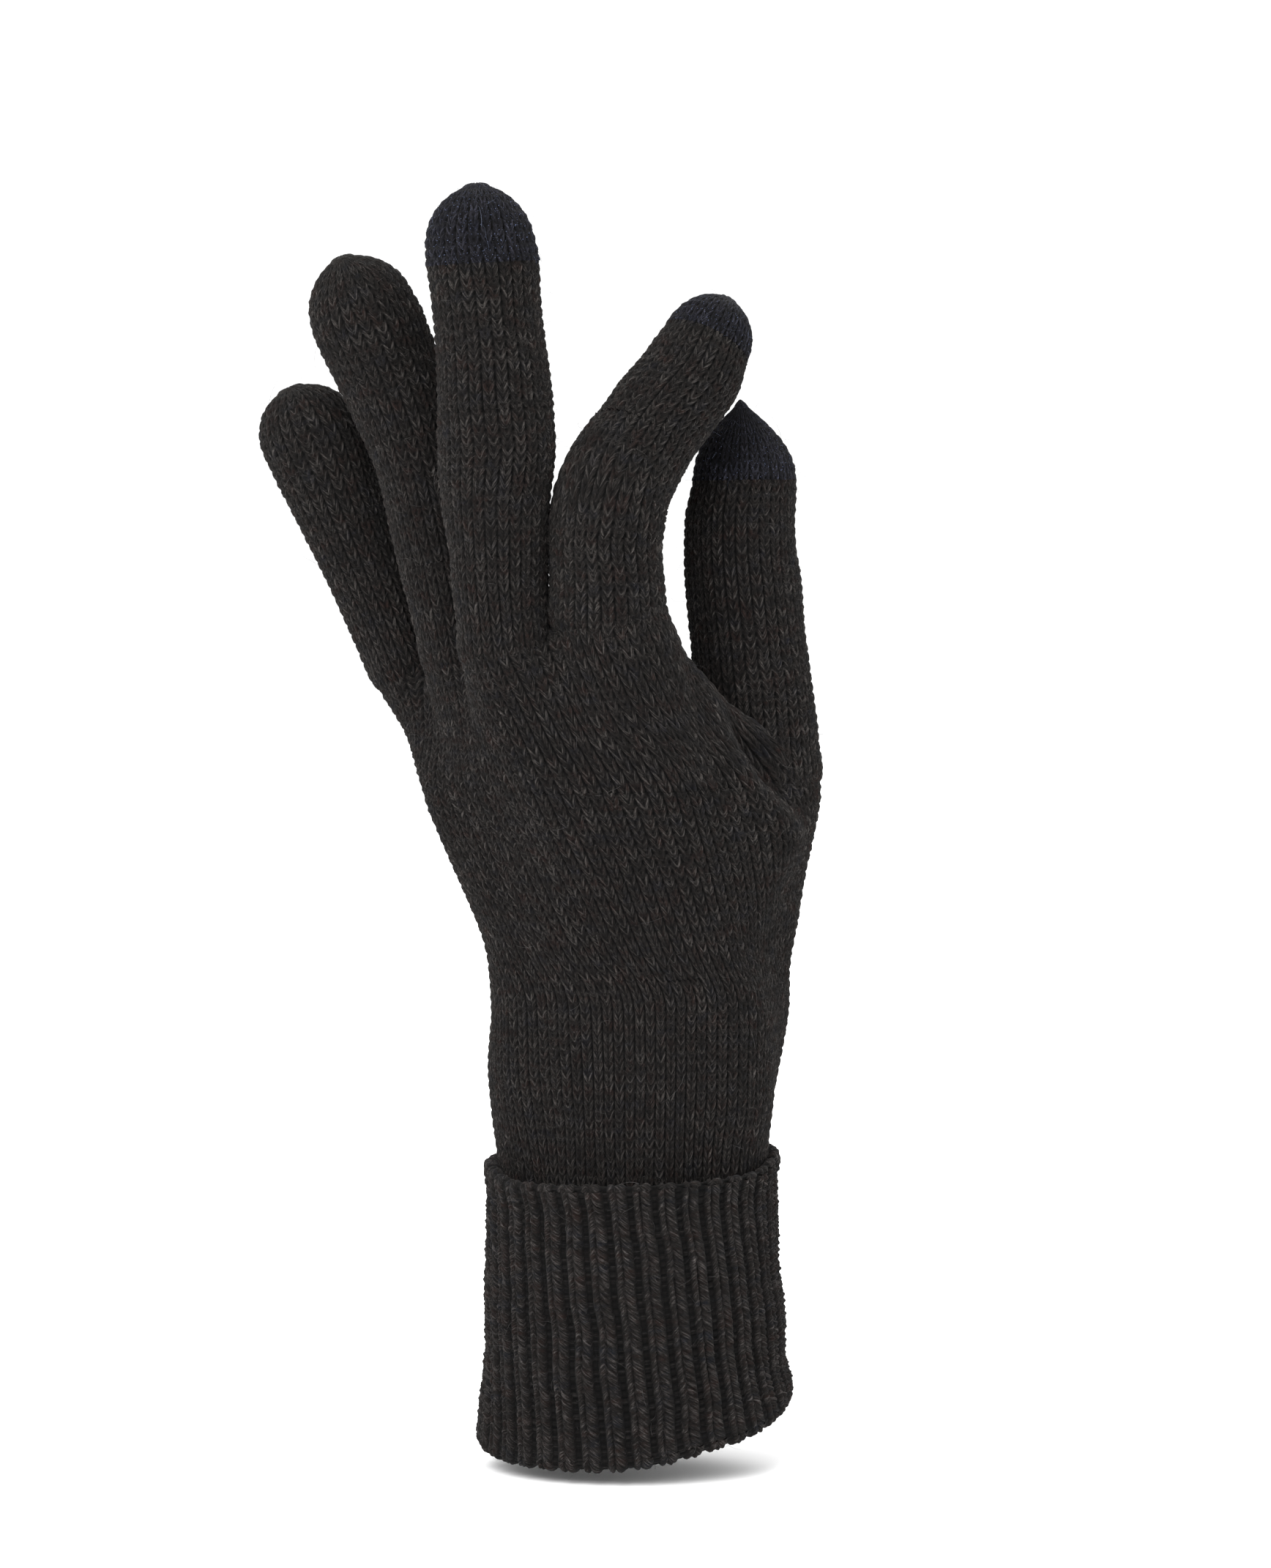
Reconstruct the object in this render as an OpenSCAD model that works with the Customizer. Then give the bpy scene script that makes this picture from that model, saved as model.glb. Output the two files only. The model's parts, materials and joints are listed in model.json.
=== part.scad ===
// Knitted touchscreen glove for the left hand, fingers up, with a turned-up ribbed cuff.
// Origin: centre of the arm opening, level with the lowest point of the cuff's fold.
// +Z runs from the cuff to the fingertips, +X to the thumb's side, +Y to the palm's side.

/* [Fabric] */
// Thickness of the plain knit wall
fabric_t = 1.8; // [1.4:0.1:2.2]
// Thickness of each ribbed layer of the cuff
rib_t = 2.0; // [1.6:0.1:2.4]
// Half of the gap left between two stalls where they bend
joint_gap = 0.35; // [0.3:0.05:0.6]

/* [Cuff] */
// Half of the cuff's width over its outer layer
cuff_half_w = 30; // [28:0.5:33]
// Half of the cuff's depth over its outer layer
cuff_half_d = 25.5; // [24:0.5:28]
// Height of the turned-up layer's top edge at the middle of the cuff
cuff_top = 60; // [52:0.5:66]
// How much wider the cuff is at its fold than at its top, on each side
cuff_flare = 1.8; // [0:0.1:3]
// How far the fold sits towards the thumb's side of the cuff's top
cuff_lean = 1; // [0:0.1:2]
// Height of the fold at the middle of the cuff
fold_mid = 5.2; // [5.2:0.1:8]
// Rise of the fold towards the thumb's side, per millimetre
fold_rise_x = 0.08; // [0:0.01:0.1]
// Rise of the fold towards the palm's side, per millimetre
fold_rise_y = 0.2; // [0:0.01:0.2]
// Number of ribs round the cuff
rib_count = 36; // [30:1:40]
// Depth of the furrow between two ribs
rib_relief = 0.8; // [0.2:0.1:1]

/* [Wrist] */
// Height of the wrist's bend
wrist_z = 82.5; // [80:0.5:86]
// Half of the wrist's width
wrist_half_w = 26.8; // [25.6:0.2:27]
// Half of the wrist's depth
wrist_half_d = 19.5; // [18:0.5:21]
// How far the wrist bends towards the palm, in degrees
wrist_flex = 45; // [20:1:50]
// How far the wrist bends towards the back of the hand, in degrees
wrist_extend = 35; // [20:1:40]

/* [Hand] */
// Height where the hand starts to widen above the wrist
heel_z = 98; // [96:0.5:104]
// Height where the thumb leaves the hand
thumb_split_z = 138.5; // [136:0.5:141]
// Height of the finger roots above the origin's axis
roots_z = 174.1; // [172:0.1:178]
// Rise of the finger roots towards the index finger, per millimetre
roots_rise = 0.278; // [0.2:0.002:0.32]

/* [Fingers] */
// Length of the short sleeve between the hand and each finger's first bend
root_len = 7; // [6:0.5:8]
// Index finger, length of each link
index_links = [18.5, 23.4, 16]; // [12:0.1:30]
// Middle finger, length of each link
middle_links = [26, 32, 19]; // [16:0.1:36]
// Ring finger, length of each link
ring_links = [26, 27, 15.2]; // [13:0.1:32]
// Little finger, length of each link
little_links = [14.8, 18.3, 13.3]; // [12:0.1:24]
// Thumb, length of each link
thumb_links = [31, 23]; // [20:0.1:36]
// Index finger's bend at rest at the middle joint, in degrees
index_bend = 36; // [20:1:40]

/* [Hidden] */

charcoal = "#2e2c2d";
charcoal_rib = "#272526";
navy = "#1b2036";
seam_grey = "#3a3838";

round_sides = 28;     // points round a stall
hand_sides = 60;      // points round the hand
cuff_sides = 72;      // points round the cuff's plain rings
closure_angle = 70;   // how far up a fingertip's dome its drawn closure starts, in degrees

// ---- small vector helpers ----
function unit(v) = v / norm(v);
function mix(a, b, t) = a + (b - a) * t;
function flatten(lists) = [for (l = lists) for (v = l) v];
function clamp01(t) = min(1, max(0, t));

// ---- solids made from rings of points ----
// Two triangles for each step round a pair of rings that start at point numbers a and b
function band(a, b, n) = [
    for (i = [0 : n - 1])
        let (j = (i + 1) % n)
        each [[a + i, b + j, a + j], [a + i, b + i, b + j]]
];

// A closed sleeve: the outer rings from bottom to top, then the inner ones back down
module sleeve(outer, inner) {
    n = len(outer[0]);
    rings = concat(outer, [for (i = [len(inner) - 1 : -1 : 0]) inner[i]]);
    count = len(rings);
    polyhedron(
        points = flatten(rings),
        faces = [for (r = [0 : count - 1]) each band(r * n, ((r + 1) % count) * n, n)],
        convexity = 8
    );
}

// A small lens that closes a round hole: rim and crown outside, rim and crown inside
module lens(rim_out, crown_out, rim_in, crown_in) {
    n = len(rim_out);
    crown = 2 * n;
    polyhedron(
        points = concat(rim_in, rim_out, [crown_out, crown_in]),
        faces = concat(
            band(0, n, n),
            [for (i = [0 : n - 1]) [n + i, crown, n + (i + 1) % n]],
            [for (i = [0 : n - 1]) [(i + 1) % n, crown + 1, i]]
        )
    );
}

// ---- how far an end is cut back at a bend, at distance s towards the palm ----
function cut_back(s, cut) = joint_gap + (s > 0 ? s * tan(cut[0]) : -s * tan(cut[1]));
function bend_cut(rest, low, high) = [(rest + high) / 2, max(0, (-low - rest) / 2)];
no_cut = undef;
function end_shift(s, cut) = is_undef(cut) ? 0 : cut_back(s, cut);

// ---- fingers ----
// A finger: root point, palm direction's heading, sideways lean, links, bends at rest,
// half-widths and half-depths at each station, dome height, touch fabric below the dome,
// and each bend's range [least, most] counted from rest
function f_root(f) = f[0];
function f_heading(f) = f[1];
function f_lean(f) = f[2];
function f_links(f) = f[3];
function f_bends(f) = f[4];
function f_half_w(f) = f[5];
function f_half_d(f) = f[6];
function f_dome(f) = f[7];
function f_touch(f) = f[8];
function f_range(f) = f[9];

function roots_plane(x) = roots_z + roots_rise * x;
function on_plane(x, y) = [x, y, roots_plane(x)];

index = [
    on_plane(-4.5, -11), 44, 4, concat([root_len], index_links), [0, index_bend, -4],
    [10.2, 10.5, 10.9, 10.4, 9.1], [10.6, 10.8, 10.8, 10.3, 9.1], 10.2, 1,
    [[-15, 2], [-34, 2], [-11, 1]]
];
middle = [
    on_plane(-26.1, -10), 30, -4, concat([root_len], middle_links), [0, 2, 0],
    [8, 8.7, 10.5, 11.1, 10.2], [10, 10.4, 10.8, 10.8, 10.1], 11, 4.6,
    [[-12, 45], [-2, 60], [-2, 41]]
];
ring = [
    on_plane(-36.1, 5.3), 28, -16, concat([root_len], ring_links), [7, -7, -7],
    [7.8, 8.2, 9.7, 10.8, 10.6], [9.5, 10, 10.4, 10.6, 10.3], 11.2, 0,
    [[-10, 45], [0, 60], [0, 41]]
];
little = [
    on_plane(-46.9, 18), 24, -23, concat([root_len], little_links), [6, -8, 4],
    [7.3, 7.6, 8.7, 9.8, 9.7], [9, 9.2, 9.4, 9.6, 9.4], 9.9, 0,
    [[-10, 45], [0, 55], [0, 37]]
];
thumb = [
    [27, 17, thumb_split_z], 238, -6, concat([9.5], thumb_links), [0, -6],
    [11.5, 11.9, 11.6, 10.3], [11.5, 11.9, 11.4, 10.2], 15.5, 1.2,
    [[-20, 2], [-20, 2]]
];

// Directions of a finger: along it, and towards its palm side, before any bend
function along(f) = [sin(f_lean(f)), 0, cos(f_lean(f))];
function palmward(f) =
    let (h = [sin(f_heading(f)), cos(f_heading(f)), 0], l = along(f))
    unit(h - l * (h * l));
function side(f) = cross(along(f), palmward(f));

// Total bend of link i, and the link's own two directions
function turn(f, i) = i <= 0 ? 0 : turn(f, i - 1) + f_bends(f)[i - 1];
function link_dir(f, i) = along(f) * cos(turn(f, i)) + palmward(f) * sin(turn(f, i));
function link_palm(f, i) = palmward(f) * cos(turn(f, i)) - along(f) * sin(turn(f, i));
function station(f, i) =
    i <= 0 ? f_root(f) : station(f, i - 1) + link_dir(f, i - 1) * f_links(f)[i - 1];
function cut_at(f, i) = bend_cut(f_bends(f)[i], f_range(f)[i][0], f_range(f)[i][1]);

// One ring of link i at fraction t of its length, pulled in by the wall's thickness
function link_ring(f, i, t, inset, cut_low, cut_high) =
    let (
        centre = station(f, i) + link_dir(f, i) * f_links(f)[i] * t,
        a = mix(f_half_w(f)[i], f_half_w(f)[i + 1], t) - inset,
        b = mix(f_half_d(f)[i], f_half_d(f)[i + 1], t) - inset
    )
    [for (k = [0 : round_sides - 1])
        let (
            q = 360 * k / round_sides,
            s = -b * sin(q),
            shift = (1 - t) * end_shift(s, cut_low) - t * end_shift(s, cut_high)
        )
        centre + side(f) * (a * cos(q)) + link_palm(f, i) * s + link_dir(f, i) * shift
    ];

module link_sleeve(f, i, cut_low, cut_high, top = 1) {
    sleeve(
        [for (t = [0, 0.5, 1]) link_ring(f, i, t * top, 0, cut_low, cut_high)],
        [for (t = [0, 0.5, 1]) link_ring(f, i, t * top, fabric_t, cut_low, cut_high)]
    );
}

// Short sleeve between the hand and the first bend; its lower end lies on the plane
// where the hand ends, which passes through the root and rises with x
module root_sleeve(f, rise) {
    cut = cut_at(f, 0);
    function low_ring(inset) = [
        for (p = link_ring(f, 0, 0, inset, no_cut, no_cut))
            let (drop = f_root(f).z + rise * (p.x - f_root(f).x) - p.z, l = along(f))
            p + l * (drop / (l.z - rise * l.x))
    ];
    sleeve(
        [low_ring(0), link_ring(f, 0, 1, 0, no_cut, cut)],
        [low_ring(fabric_t), link_ring(f, 0, 1, fabric_t, no_cut, cut)]
    );
}

// Rings of a fingertip's dome, from its base up to the drawn closure
function last(f) = len(f_links(f)) - 1;
function dome_ring(f, q, inset) =
    let (
        i = last(f),
        centre = station(f, i + 1),
        a = f_half_w(f)[i + 1] - inset,
        b = f_half_d(f)[i + 1] - inset,
        h = (f_dome(f) - inset) * sin(q)
    )
    [for (k = [0 : round_sides - 1])
        let (w = 360 * k / round_sides)
        centre + (side(f) * (a * cos(w)) - link_palm(f, i) * (b * sin(w))) * cos(q)
            + link_dir(f, i) * h
    ];
dome_steps = [15, 30, 45, 58, closure_angle];
function touch_start(f) = 1 - f_touch(f) / f_links(f)[last(f)];

// End link below the touch fabric
module end_sleeve(f) {
    link_sleeve(f, last(f), cut_at(f, last(f) - 1), no_cut, touch_start(f));
}

// Touch fabric from its edge to the closure
module touch_cap(f) {
    i = last(f);
    function rings(inset) = concat(
        [for (t = [touch_start(f), 1]) link_ring(f, i, t, inset, cut_at(f, i - 1), no_cut)],
        [for (q = dome_steps) dome_ring(f, q, inset)]
    );
    sleeve(rings(0), rings(fabric_t));
}

// End link and dome in one, for a finger with no touch fabric
module plain_cap(f) {
    i = last(f);
    function rings(inset) = concat(
        [for (t = [0, 0.5, 1]) link_ring(f, i, t, inset, cut_at(f, i - 1), no_cut)],
        [for (q = dome_steps) dome_ring(f, q, inset)]
    );
    sleeve(rings(0), rings(fabric_t));
}

// Drawn stitches that close the fingertip
module closure(f) {
    i = last(f);
    crown = station(f, i + 1) + link_dir(f, i) * f_dome(f);
    lens(
        dome_ring(f, closure_angle, 0), crown,
        dome_ring(f, closure_angle, fabric_t), crown - link_dir(f, i) * fabric_t
    );
}

// ---- hand: each level is the outline round a row of circles ----
fingers = [index, middle, ring, little];

// Circles at the wrist, one for each finger's ray: x, y and radius
wrist_x = 0.6;        // how far the wrist sits towards the thumb's side
wrist_r = [for (d = [5, 1, 1, 5]) wrist_half_d - d];
wrist_row = [1, 0.33, -0.33, -1];
function wrist_circle(i) =
    [wrist_row[i] * (wrist_half_w - wrist_r[0]) + wrist_x, -1.5 * wrist_row[i], wrist_r[i]];
function root_circle(i) =
    let (f = fingers[i]) [f_root(f).x, f_root(f).y, f_half_w(f)[0] + 0.6];
function ray_height(i, z) = clamp01((z - heel_z) / (f_root(fingers[i]).z - heel_z));
function ray_circle(i, z) = mix(wrist_circle(i), root_circle(i), ray_height(i, z));

// Circle inside the web between the index finger and the thumb, from the split to the roots
web_low = [18.6, -4.5, 6.5];
web_high = [0, -6, 6.5];
thumb_low = [9.5, 3, wrist_half_d - 4];
thumb_high = [27, 17, 11.5];

function outline_point(circles, q) =
    let (
        d = [cos(q), sin(q)],
        reach = [for (c = circles) c.x * d.x + c.y * d.y + c[2]],
        most = max(reach),
        c = [for (k = [0 : len(reach) - 1]) if (reach[k] == most) circles[k]][0]
    )
    [c.x + c[2] * d.x, c.y + c[2] * d.y];
function shrink(circles, inset) = [for (c = circles) [c.x, c.y, c[2] - inset]];
function outline(circles, inset) = [
    for (k = [0 : hand_sides - 1]) outline_point(shrink(circles, inset), 360 * k / hand_sides)
];

function heel_circles(z) = concat(
    [for (i = [0 : 3]) ray_circle(i, z)],
    [mix(thumb_low, thumb_high, (z - cuff_top) / (thumb_split_z - cuff_top))]
);
function palm_circles(t) = concat(
    [for (i = [0 : 3]) mix(ray_circle(i, thumb_split_z), root_circle(i), t)],
    [mix(web_low, web_high, t)]
);

// Distance towards the palm from the wrist's axis, and its cuts
wrist_heading = 12;
function wrist_s(p) = (p.x - wrist_x) * sin(wrist_heading) + p.y * cos(wrist_heading);
wrist_cut = [wrist_flex / 2, wrist_extend / 2];

function level(points, z) = [for (p = points) [p.x, p.y, z]];

module hand_heel() {
    function rings(inset) = concat(
        [[for (p = outline(heel_circles(wrist_z), inset))
            [p.x, p.y, wrist_z + cut_back(wrist_s(p), wrist_cut)]]],
        [for (z = [heel_z, heel_z + 12, heel_z + 24, thumb_split_z])
            level(outline(heel_circles(z), inset), z)]
    );
    color(charcoal) sleeve(rings(0), rings(fabric_t));
}

module hand_palm() {
    function ring_at(t, inset) = [
        for (p = outline(palm_circles(t), inset))
            [p.x, p.y, mix(thumb_split_z, roots_plane(p.x), t)]
    ];
    steps = [0, 0.25, 0.5, 0.75, 1];
    color(charcoal) sleeve(
        [for (t = steps) ring_at(t, 0)],
        [for (t = steps) ring_at(t, fabric_t)]
    );
}

// ---- wrist and cuff ----
function oval(half_w, half_d, n) = [
    for (k = [0 : n - 1]) [half_w * cos(360 * k / n), half_d * sin(360 * k / n)]
];
function fold_z(p) = fold_mid + fold_rise_x * p.x + fold_rise_y * p.y;
function cuff_z(p, t) = mix(fold_z(p), cuff_top, t);
function cuff_point(p, t) = [p.x + cuff_lean * (1 - t), p.y, cuff_z(p, t)];

module wrist_sleeve() {
    function rings(inset) = [
        level(outline(heel_circles(cuff_top), inset), cuff_top),
        [for (p = outline(heel_circles(wrist_z), inset))
            [p.x, p.y, wrist_z - cut_back(wrist_s(p), wrist_cut)]]
    ];
    color(charcoal) sleeve(rings(0), rings(fabric_t));
}

// An oval layer of the cuff between two fractions of its height, in steps
function layer_rings(half_w, half_d, inset, steps) = [
    for (t = steps)
        let (grow = cuff_flare * (1 - t))
        [for (p = oval(half_w + grow - inset, half_d + grow - inset, cuff_sides))
            cuff_point(p, t)]
];
fold_t = 0.05;        // fraction of the cuff's height taken by the fold
edge_t = 0.93;        // fraction at which the rolled top edge starts
inner_half_w = cuff_half_w - rib_t - 0.4;
inner_half_d = cuff_half_d - rib_t - 0.4;

module cuff_inner_layer() {
    steps = [fold_t, 0.35, 0.7, 1];
    color(charcoal_rib) sleeve(
        layer_rings(inner_half_w, inner_half_d, 0, steps),
        layer_rings(inner_half_w, inner_half_d, rib_t, steps)
    );
}

// The turned-up layer's outer face is ribbed: four points for each rib
function ribbed(half_w, half_d) = [
    for (k = [0 : rib_count * 4 - 1])
        let (q = 90 * k / rib_count, dip = (k % 4) < 2 ? 0 : rib_relief)
        [(half_w - dip) * cos(q), (half_d - dip) * sin(q)]
];

module cuff_outer_layer() {
    steps = [fold_t, 0.5, edge_t];
    color(charcoal_rib) sleeve(
        [for (t = steps)
            let (grow = cuff_flare * (1 - t))
            [for (p = ribbed(cuff_half_w + grow, cuff_half_d + grow)) cuff_point(p, t)]],
        [for (t = steps)
            let (grow = cuff_flare * (1 - t) - rib_t)
            [for (p = oval(cuff_half_w + grow, cuff_half_d + grow, rib_count * 4))
                cuff_point(p, t)]]
    );
}

// The fold: a rounded gutter that joins the two layers at the bottom
module cuff_fold() {
    wide = cuff_half_w + cuff_flare * (1 - fold_t);
    deep = cuff_half_d + cuff_flare * (1 - fold_t);
    across = 2 * rib_t + 0.4;
    function ring_at(q) =
        let (inset = across / 2 * (1 - cos(q)))
        [for (p = oval(wide - inset, deep - inset, cuff_sides))
            cuff_point(p, fold_t) - [0, 0, across / 2 * sin(q)]];
    color(charcoal_rib) sleeve(
        [for (q = [90 : -30 : 0]) ring_at(q)],
        [for (q = [120 : 30 : 180]) ring_at(q)]
    );
}

// The rolled welt at the turned-up layer's top
module cuff_top_edge() {
    function ring_at(t, inset) = [
        for (p = oval(cuff_half_w - inset, cuff_half_d - inset, cuff_sides))
            cuff_point(p, edge_t) + [0, 0, t]
    ];
    color(charcoal_rib) sleeve(
        [ring_at(0, rib_relief / 2), ring_at(1.2, -0.1), ring_at(2.8, 0), ring_at(3.9, 0.7)],
        [ring_at(0, rib_t), ring_at(1.2, rib_t), ring_at(2.8, rib_t), ring_at(3.9, rib_t - 0.5)]
    );
}

// ---- fingers' own pieces ----
module thumb_gusset() color(charcoal) root_sleeve(thumb, 0);

module index_root() color(charcoal) root_sleeve(index, roots_rise);
module index_base_stall() color(charcoal) link_sleeve(index, 1, cut_at(index, 0), cut_at(index, 1));
module index_middle_stall() color(charcoal) link_sleeve(index, 2, cut_at(index, 1), cut_at(index, 2));
module index_end_stall() color(charcoal) end_sleeve(index);
module index_touch_tip() color(navy) touch_cap(index);
module index_tip_closure() color(seam_grey) closure(index);

module middle_root() color(charcoal) root_sleeve(middle, roots_rise);
module middle_base_stall() color(charcoal) link_sleeve(middle, 1, cut_at(middle, 0), cut_at(middle, 1));
module middle_middle_stall() color(charcoal) link_sleeve(middle, 2, cut_at(middle, 1), cut_at(middle, 2));
module middle_end_stall() color(charcoal) end_sleeve(middle);
module middle_touch_tip() color(navy) touch_cap(middle);
module middle_tip_closure() color(seam_grey) closure(middle);

module ring_root() color(charcoal) root_sleeve(ring, roots_rise);
module ring_base_stall() color(charcoal) link_sleeve(ring, 1, cut_at(ring, 0), cut_at(ring, 1));
module ring_middle_stall() color(charcoal) link_sleeve(ring, 2, cut_at(ring, 1), cut_at(ring, 2));
module ring_end_stall() color(charcoal) plain_cap(ring);
module ring_tip_closure() color(seam_grey) closure(ring);

module little_root() color(charcoal) root_sleeve(little, roots_rise);
module little_base_stall() color(charcoal) link_sleeve(little, 1, cut_at(little, 0), cut_at(little, 1));
module little_middle_stall() color(charcoal) link_sleeve(little, 2, cut_at(little, 1), cut_at(little, 2));
module little_end_stall() color(charcoal) plain_cap(little);
module little_tip_closure() color(seam_grey) closure(little);

module thumb_base_stall() color(charcoal) link_sleeve(thumb, 1, cut_at(thumb, 0), cut_at(thumb, 1));
module thumb_end_stall() color(charcoal) end_sleeve(thumb);
module thumb_touch_tip() color(navy) touch_cap(thumb);
module thumb_tip_closure() color(seam_grey) closure(thumb);

cuff_inner_layer();
cuff_outer_layer();
cuff_fold();
cuff_top_edge();
wrist_sleeve();
hand_heel();
hand_palm();
thumb_gusset();
index_root();
index_base_stall();
index_middle_stall();
index_end_stall();
index_touch_tip();
index_tip_closure();
middle_root();
middle_base_stall();
middle_middle_stall();
middle_end_stall();
middle_touch_tip();
middle_tip_closure();
ring_root();
ring_base_stall();
ring_middle_stall();
ring_end_stall();
ring_tip_closure();
little_root();
little_base_stall();
little_middle_stall();
little_end_stall();
little_tip_closure();
thumb_base_stall();
thumb_end_stall();
thumb_touch_tip();
thumb_tip_closure();
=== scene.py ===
"""A knitted touchscreen glove with a turned-up ribbed cuff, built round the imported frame.

Every knitted tube is a grid of vertices, with a fixed number to each wale (column of stitches)
or rib, and to each course (row of stitches). The stitches are raised out of a smooth surface.
"""

import json
import math

import bpy
import numpy as np
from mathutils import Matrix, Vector

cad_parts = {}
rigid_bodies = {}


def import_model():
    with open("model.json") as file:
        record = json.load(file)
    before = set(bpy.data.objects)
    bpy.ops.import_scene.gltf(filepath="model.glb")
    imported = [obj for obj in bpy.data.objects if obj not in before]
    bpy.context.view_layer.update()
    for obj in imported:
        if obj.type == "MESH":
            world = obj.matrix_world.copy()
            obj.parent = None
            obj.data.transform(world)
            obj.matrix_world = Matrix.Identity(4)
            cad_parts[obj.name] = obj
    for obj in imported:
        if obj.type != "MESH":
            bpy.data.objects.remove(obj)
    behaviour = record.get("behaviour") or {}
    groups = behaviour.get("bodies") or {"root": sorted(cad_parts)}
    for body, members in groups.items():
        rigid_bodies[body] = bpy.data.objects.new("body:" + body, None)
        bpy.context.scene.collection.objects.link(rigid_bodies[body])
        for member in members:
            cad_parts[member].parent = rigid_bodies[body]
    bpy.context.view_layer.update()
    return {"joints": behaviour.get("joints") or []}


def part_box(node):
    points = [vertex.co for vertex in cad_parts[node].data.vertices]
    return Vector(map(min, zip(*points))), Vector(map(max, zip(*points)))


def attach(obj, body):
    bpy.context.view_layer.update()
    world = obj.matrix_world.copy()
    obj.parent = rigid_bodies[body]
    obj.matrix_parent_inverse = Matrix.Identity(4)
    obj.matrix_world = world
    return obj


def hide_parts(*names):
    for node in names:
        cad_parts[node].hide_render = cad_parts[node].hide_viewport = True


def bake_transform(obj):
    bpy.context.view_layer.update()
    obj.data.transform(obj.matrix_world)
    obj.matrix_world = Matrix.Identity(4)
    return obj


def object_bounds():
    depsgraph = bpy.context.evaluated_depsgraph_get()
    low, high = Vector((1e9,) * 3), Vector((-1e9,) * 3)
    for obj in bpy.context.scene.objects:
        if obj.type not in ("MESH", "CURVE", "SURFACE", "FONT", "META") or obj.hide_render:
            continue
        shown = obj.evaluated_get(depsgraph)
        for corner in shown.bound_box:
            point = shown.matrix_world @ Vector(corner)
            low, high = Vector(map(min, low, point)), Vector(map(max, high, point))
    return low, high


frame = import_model()

MM = 0.001
SEED = 41
WALE_STEPS = 8  # vertices across one wale
COURSE_STEPS = 5  # vertices along one course
HAND_COURSE = 2.0 * MM
FINGER_COURSE = 2.1 * MM
RIB_COURSE = 1.45 * MM
STITCH_RELIEF = 0.78 * MM

JOINTS = {j["name"]: j for j in frame["joints"]}


def unit(v):
    v = np.asarray(v, float)
    return v / np.linalg.norm(v, axis=-1, keepdims=True)


def joint_at(name):
    return np.array(JOINTS[name]["pos_m"], float)


def joint_axis(name):
    return unit(JOINTS[name]["axis"])


def box_centre(node):
    low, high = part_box(node)
    return np.array((low + high) / 2)


def smoothstep(x, low=0.0, high=1.0):
    t = np.clip((x - low) / (high - low), 0, 1)
    return t * t * (3 - 2 * t)


def lerp(a, b, t):
    return a + (b - a) * t


# ---- smooth random fields ----
def grid_places(tall, cols, wale_steps, course_steps):
    """Each grid vertex's place round the tube and along it, counted in steps of that many vertices."""
    v, u = np.meshgrid(np.arange(tall) / course_steps, np.arange(cols) / wale_steps, indexing="ij")
    return u, v


def lattice_noise(u, v, rng, wide):
    """Smooth noise from -1 to 1 at lattice coordinates u, v; u repeats after wide steps."""
    tall = int(np.max(v)) + 3
    grid = rng.uniform(-1, 1, (tall, wide))
    u0, v0 = np.floor(u).astype(int), np.floor(v).astype(int)
    fu, fv = smoothstep(u - u0), smoothstep(v - v0)
    a = grid[v0 % tall, u0 % wide] * (1 - fu) + grid[v0 % tall, (u0 + 1) % wide] * fu
    b = grid[(v0 + 1) % tall, u0 % wide] * (1 - fu) + grid[(v0 + 1) % tall, (u0 + 1) % wide] * fu
    return a * (1 - fv) + b * fv


def stitch_noise(u, course, rng, wales):
    """One random value from -1 to 1 for each leg of each stitch."""
    leg = np.floor(u * 2).astype(int) % (2 * wales)
    row = np.floor(course).astype(int)
    row = row - row.min()
    grid = rng.uniform(-1, 1, (row.max() + 1, 2 * wales))
    return grid[row, leg]


# ---- stitch shapes ----
# Each gives, at wale u and course v, the height in units of the relief, how far across the stitch
# the point is, and its course counted along the stitch's own slant
RISE = 1.25  # how far a stitch's legs rise from its middle to its sides, in courses


def plain_stitch(u, v):
    """One stitch of plain knit: two legs in a V, with a groove down its middle and at its sides."""
    across = np.abs(u - np.floor(u) - 0.5) * 2
    course = v - RISE * across
    t = course - np.floor(course)
    leg = 0.18 + 0.82 * np.sin(np.pi * np.clip(across, 0.04, 0.96)) ** 0.7
    strand = 0.06 + 0.94 * np.sin(np.pi * t) ** 0.75
    return leg * strand - 0.30 * smoothstep(across, 0.70, 1.0), across, course


LEFT_LEG = 0.27  # where a rib's narrow left leg ends, as a fraction of the rib
RIGHT_LEG = 0.71  # where its wide right leg ends; the rest is the sunk purl column


def rib_stitch(u, v):
    """One rib, its stitches upside down as on any turned-up cuff."""
    x = u - np.floor(u)
    left = np.clip(x / LEFT_LEG, 0, 1)
    right = np.clip((x - LEFT_LEG) / (RIGHT_LEG - LEFT_LEG), 0, 1)
    purl = np.clip((x - RIGHT_LEG) / (1 - RIGHT_LEG), 0, 1)
    across = np.where(x < LEFT_LEG, left, np.where(x < RIGHT_LEG, right, 0.5))
    course = v + np.where(x < LEFT_LEG, -0.8 * left, np.where(x < RIGHT_LEG, 1.25 * right, 0.5))
    t = course - np.floor(course)
    strand = np.sin(np.pi * t) ** 0.7
    narrow = np.sin(np.pi * left) ** 0.7 * (0.58 + 0.34 * strand)
    wide = np.sin(np.pi * right) ** 0.6 * (0.32 + 0.68 * strand)
    knit = 0.22 + 0.78 * np.maximum(narrow, wide)
    sunk = 0.22 * (1 - np.sin(np.pi * purl) ** 0.5) + 0.30 * np.sin(np.pi * purl) * strand
    return np.where(x < RIGHT_LEG, knit, sunk), across, course


# ---- meshes ----
def grid_normals(points):
    """Outward normals of a closed grid of rings, points[row, around]."""
    around = np.roll(points, -1, axis=1) - np.roll(points, 1, axis=1)
    along = np.gradient(points, axis=0)
    n = np.cross(around, along)
    length = np.linalg.norm(n, axis=-1, keepdims=True)
    return n / np.maximum(length, 1e-12)


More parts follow.
